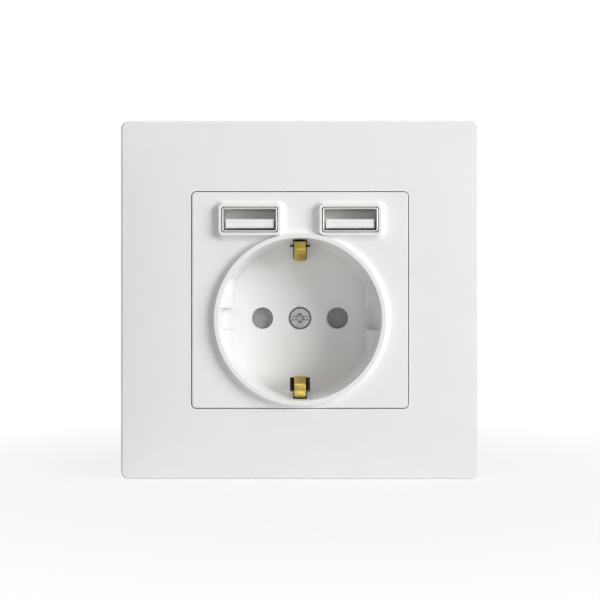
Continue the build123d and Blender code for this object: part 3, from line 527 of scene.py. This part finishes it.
def settle(piece, node):
    """Dress a finished piece like the solid that it stands for, and let it ride on the socket."""
    piece.data.materials.clear()
    piece.data.materials.append(finishes[slot_of[node]])
    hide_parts(node)
    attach(piece, "socket")
    print(piece.name, "stands for", node, "with", len(piece.data.polygons), "faces")


NEAR = 0.001
print("modelling helpers ready")

# %% [markdown]
# ## Screws
#
# A screw starts as the bar of its head.
# The edge of the head is bevelled, round for a pan head and narrow for a cheese head.
# The back face is inset to the width of the shank and pulled out to its length.
# Then the recess is cut with tapered boxes, as a punch would press it: a slot, a cross, or both.
# The threads are hidden in their holes, so the shanks stay plain.

# %% A screw along Y
def make_screw(name, x, z, head, front, seat, shank, end, bevel, rounds):
    """A screw whose head looks to -Y when front is less than seat, and to +Y when it is more."""
    low, high = sorted((front, seat))
    screw = start_bar(name, head, low, high, x, 0, z)
    pick(screw, "EDGE", lambda p: abs(p.y - front) < NEAR)
    bpy.ops.mesh.bevel(offset=bevel * MM, segments=rounds)
    pick(screw, "FACE", lambda p: abs(p.y - seat) < NEAR)
    bpy.ops.mesh.inset(thickness=(head - shank) * MM)
    bpy.ops.mesh.extrude_region_move(TRANSFORM_OT_translate={"value": (0, (end - seat) * MM, 0)})
    done()
    pick(screw, "EDGE", lambda p: abs(p.y - end) < NEAR)
    bpy.ops.mesh.bevel(offset=0.3 * MM, segments=1)
    done()
    return screw


def press_cross(screw, x, z, front, deep, width, length, taper=0.6):
    """Press a cross recess, narrower at its deep end, into a head along Y."""
    out = front - 0.4 if deep > front else front + 0.4
    low_y, high_y = sorted((out, deep))
    for wide, tall in ((width, length), (length, width)):
        low = (x - wide / 2, low_y, z - tall / 2)
        high = (x + wide / 2, high_y, z + tall / 2)
        cut_box(screw, low, high, deep, taper)


WELL_Z = -4.6
HEAD_FRONT, SLOT_DEEP, SLOT_HALF = 5.7, 6.5, 0.62
sizes = {"head": 2.52, "front": HEAD_FRONT, "seat": 7.7, "shank": 1.5, "end": 19.6}
centre_screw = make_screw("centre_screw_turned", 0, WELL_Z, **sizes, bevel=0.18, rounds=3)
slot_start = (-7, HEAD_FRONT - 0.2, WELL_Z - SLOT_HALF)
slot_end = (7, SLOT_DEEP, WELL_Z + SLOT_HALF)
cut_box(centre_screw, slot_start, slot_end, SLOT_DEEP, taper=0.6)
press_cross(centre_screw, 0, WELL_Z, HEAD_FRONT, deep=7.2, width=1.1, length=2.7, taper=0.62)
smooth(centre_screw)
settle(centre_screw, "centre_screw")

# %% [markdown]
# The screws of the wall plate and of the rear cover are pan heads with a cross.
# One of each pair is modelled, and copied to the other side.

# %% Pairs of screws
SUPPORT_X, SUPPORT_Z, SUPPORT_FRONT = 20.3, 10.0, -2.5
sizes = {"head": 2.0, "front": SUPPORT_FRONT, "seat": -1.0, "shank": 1.0, "end": 6.0}
left = make_screw("support_screws_turned", -SUPPORT_X, SUPPORT_Z, **sizes, bevel=0.6, rounds=5)
press_cross(left, -SUPPORT_X, SUPPORT_Z, SUPPORT_FRONT, deep=-1.6, width=0.6, length=2.2)
smooth(left)
right = copy_piece(left, "support_screw_right", (2 * SUPPORT_X, 0, 0))
settle(join([left, right], "support_screws_turned"), "support_screws")

COVER_X, COVER_Z, COVER_BACK = 20.6, 2.0, 32.9
sizes = {"head": 2.4, "front": COVER_BACK, "seat": 31.8, "shank": 1.3, "end": 24.0}
left = make_screw("cover_screws_turned", -COVER_X, COVER_Z, **sizes, bevel=0.55, rounds=5)
press_cross(left, -COVER_X, COVER_Z, COVER_BACK, deep=32.2, width=0.7, length=2.6)
smooth(left)
right = copy_piece(left, "cover_screw_right", (2 * COVER_X, 0, 0))
settle(join([left, right], "cover_screws_turned"), "cover_screws")

# %% [markdown]
# The terminal screws stand upright with their slotted heads downwards, where a screwdriver reaches them.

# %% Terminal screws
TERMINAL_STEP, TERMINAL_Y = 12, 20.35
HEAD_LOW, HEAD_HIGH, SHANK_LENGTH = -24.1, -21.7, 3.0
place = (-TERMINAL_STEP, TERMINAL_Y, 0)
screw = start_bar("terminal_screws_turned", 2.8, HEAD_LOW, HEAD_HIGH, *place, along_y=False)
pick(screw, "EDGE", lambda p: abs(p.z - HEAD_LOW) < NEAR)
bpy.ops.mesh.bevel(offset=0.3 * MM, segments=3)
pick(screw, "FACE", lambda p: abs(p.z - HEAD_HIGH) < NEAR)
bpy.ops.mesh.inset(thickness=1.3 * MM)
bpy.ops.mesh.extrude_region_move(TRANSFORM_OT_translate={"value": (0, 0, SHANK_LENGTH * MM)})
done()
slot_start = (-TERMINAL_STEP - 4, TERMINAL_Y - 0.5, HEAD_LOW - 1)
slot_end = (-TERMINAL_STEP + 4, TERMINAL_Y + 0.5, HEAD_LOW + 1.1)
cut_box(screw, slot_start, slot_end)
smooth(screw)
others = [copy_piece(screw, "terminal_screw", (turn * TERMINAL_STEP, 0, 0)) for turn in (1, 2)]
settle(join([screw, *others], "terminal_screws_turned"), "terminal_screws")

# %% [markdown]
# ## Earth strip
#
# One strip of brass runs behind the deck, and both of its ends come forward into the well as spring clips.
# A ribbon is the simplest start: one face at the tip, whose far edge is pulled from bend to bend.
# Every bend is then rounded with a bevel, as wide as a bend of one millimetre inside needs,
# the tip's corners are rounded too, and the ribbon gets its thickness and slightly broken edges.

# %% One spring clip
BENDS = [(18.95, -6.4), (17.5, -5.4), (16.2, -5.6), (14.6, -2.4), (14.6, 0.4), (17.4, 6.2), (17.4, 15.5)]
BEND_ROUND, STRIP_WIDTH, STRIP_THICK = 1.0, 2.8, 0.7
path = [Vector((0, y, WELL_Z - radius)) for radius, y in BENDS]
first = path[1] - path[0]
bpy.ops.object.select_all(action="DESELECT")
tilt = math.atan2(first.z, first.y)
middle = (path[0] + path[1]) / 2 * MM
bpy.ops.mesh.primitive_plane_add(size=MM, location=middle, rotation=(tilt, 0, 0))
bpy.context.object.scale = (STRIP_WIDTH, first.length, 1)
clip = finish_start("low_clip")
here = path[1]
pick(clip, "EDGE", lambda p: (p - path[1]).yz.length < 0.01)
for there in path[2:]:
    bpy.ops.mesh.extrude_region_move(TRANSFORM_OT_translate={"value": (there - here) * MM})
    here = there
for before, bend, after in zip(path, path[1:], path[2:]):
    angle = (bend - before).angle(after - bend)
    pick(clip, "EDGE", lambda p: (p - bend).yz.length < 0.01)
    bpy.ops.mesh.bevel(offset=BEND_ROUND * math.tan(angle / 2) * MM, segments=8)
pick(clip, "VERT", lambda p: (p - path[0]).yz.length < 0.01)
bpy.ops.mesh.bevel(offset=0.5 * MM, segments=4, affect="VERTICES")
done()
apply_modifier(clip, "SOLIDIFY", thickness=STRIP_THICK * MM, offset=0.0)
edge = {"limit_method": "ANGLE", "angle_limit": math.radians(50)}
apply_modifier(clip, "BEVEL", width=0.1 * MM, segments=2, **edge)
print("clip faces", len(clip.data.polygons))

# %% [markdown]
# The upper clip is the mirror image, and a plate with a hole for the centre screw joins the two.

# %% Mirror the clip and join the strip
upper = copy_piece(clip, "upper_clip", (0, 0, 0))
bpy.ops.object.select_all(action="DESELECT")
upper.select_set(True)
bpy.ops.transform.resize(value=(1, 1, -1), center_override=(0, 0, WELL_Z * MM))
bpy.ops.object.transform_apply(location=True, rotation=True, scale=True)
for side in (clip, upper):
    pick(side, "FACE", lambda p: True)
    bpy.ops.mesh.normals_make_consistent(inside=False)
    done()
plate = start_box("earth_plate", (-3.2, 15.1, WELL_Z - 17.75), (3.2, 15.9, WELL_Z + 17.75))
apply_modifier(plate, "BEVEL", width=0.12 * MM, segments=2, **edge)
hole = start_bar("cutter", 1.55, 14, 17, 0, 0, WELL_Z)
apply_modifier(plate, "BOOLEAN", operation="DIFFERENCE", object=hole, solver="EXACT")
bpy.data.objects.remove(hole)
strip = join([clip, upper, plate], "earth_strip")
smooth(strip, 40)
settle(strip, "earth_bracket")

# %% [markdown]
# ## Port shells
#
# A shell is sheet metal folded round the port.
# It starts as a box without its two ends. The long edges are rounded,
# and the sheet gets its thickness inwards.
# The lip in front is broken a little, so it draws the thin bright line round the opening.
# Two sprung tabs are slit out of the lower wall, and two legs reach up through the board.

# %% One shell
PORT_X, PORT_Z = 11.98, 19.1
SHELL_HALF_X, SHELL_HALF_Z, SHEET = 6.55, 2.86, 0.3
LIP_Y, SHELL_BACK = -11.9, -2.0
low = (-PORT_X - SHELL_HALF_X, LIP_Y, PORT_Z - SHELL_HALF_Z)
high = (-PORT_X + SHELL_HALF_X, SHELL_BACK, PORT_Z + SHELL_HALF_Z)
shell = start_box("usb_shell_left_folded", low, high)
for end in (LIP_Y, SHELL_BACK):
    pick(shell, "FACE", lambda p: abs(p.y - end) < NEAR)
    bpy.ops.mesh.delete(type="ONLY_FACE")
for x in (low[0], high[0]):
    for z in (low[2], high[2]):
        pick(shell, "EDGE", lambda p: abs(p.x - x) < NEAR and abs(p.z - z) < NEAR)
        bpy.ops.mesh.bevel(offset=0.6 * MM, segments=5)
done()
apply_modifier(shell, "SOLIDIFY", thickness=SHEET * MM, offset=-1.0)
pick(shell, "EDGE", lambda p: abs(p.y - LIP_Y) < NEAR)
bpy.ops.mesh.bevel(offset=0.06 * MM, segments=2)
done()
for middle in (-PORT_X - 3.4, -PORT_X + 3.4):
    slits = (((-1.0, 2.2), (1.0, 3.2)), ((-1.0, 3.0), (-0.75, 6.6)), ((0.75, 3.0), (1.0, 6.6)))
    for (x0, y0), (x1, y1) in slits:
        cut_box(shell, (middle + x0, LIP_Y + y0, PORT_Z - 3.3), (middle + x1, LIP_Y + y1, PORT_Z - 2.3))
legs = []
for side in (-1, 1):
    edges = [-PORT_X + side * (SHELL_HALF_X - SHEET), -PORT_X + side * SHELL_HALF_X]
    leg = start_box("leg", (min(edges), -4.8, PORT_Z + 2.2), (max(edges), -3.3, PORT_Z + 5.06))
    apply_modifier(leg, "BEVEL", width=0.06 * MM, segments=2, **edge)
    legs.append(leg)
shell = join([shell, *legs], "usb_shell_left_folded")
smooth(shell)
twin = copy_piece(shell, "usb_shell_right_folded", (2 * PORT_X, 0, 0))
settle(shell, "usb_shell_left")
settle(twin, "usb_shell_right")

# %% [markdown]
# ## Rounded edges on the hidden mouldings
#
# No mould gives a perfectly sharp edge, and from behind the base would look cut from paper without this.
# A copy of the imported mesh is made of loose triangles, so its points are merged first
# and its flat faces rejoined.
# Then a bevel rounds every edge that turns by more than fifty degrees.

# %% Soften copies of the hidden mouldings
def soften(node, width):
    """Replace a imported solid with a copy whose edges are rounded."""
    solid = nodes[node]
    bpy.ops.object.select_all(action="DESELECT")
    piece = solid.copy()
    piece.data = solid.data.copy()
    piece.name = node + "_rounded"
    bpy.context.collection.objects.link(piece)
    piece.matrix_world = solid.matrix_world
    piece.select_set(True)
    bpy.context.view_layer.objects.active = piece
    bpy.ops.object.transform_apply(location=True, rotation=True, scale=True)
    pick(piece, "FACE", lambda p: True)
    bpy.ops.mesh.remove_doubles(threshold=0.002 * MM)
    bpy.ops.mesh.dissolve_limited(angle_limit=math.radians(1))
    done()
    apply_modifier(piece, "BEVEL", width=width * MM, segments=2, **edge)
    smooth(piece, 30)
    settle(piece, node)


for node, width in (("base_body", 0.25), ("rear_cover", 0.25), ("support_ring", 0.15)):
    soften(node, width)
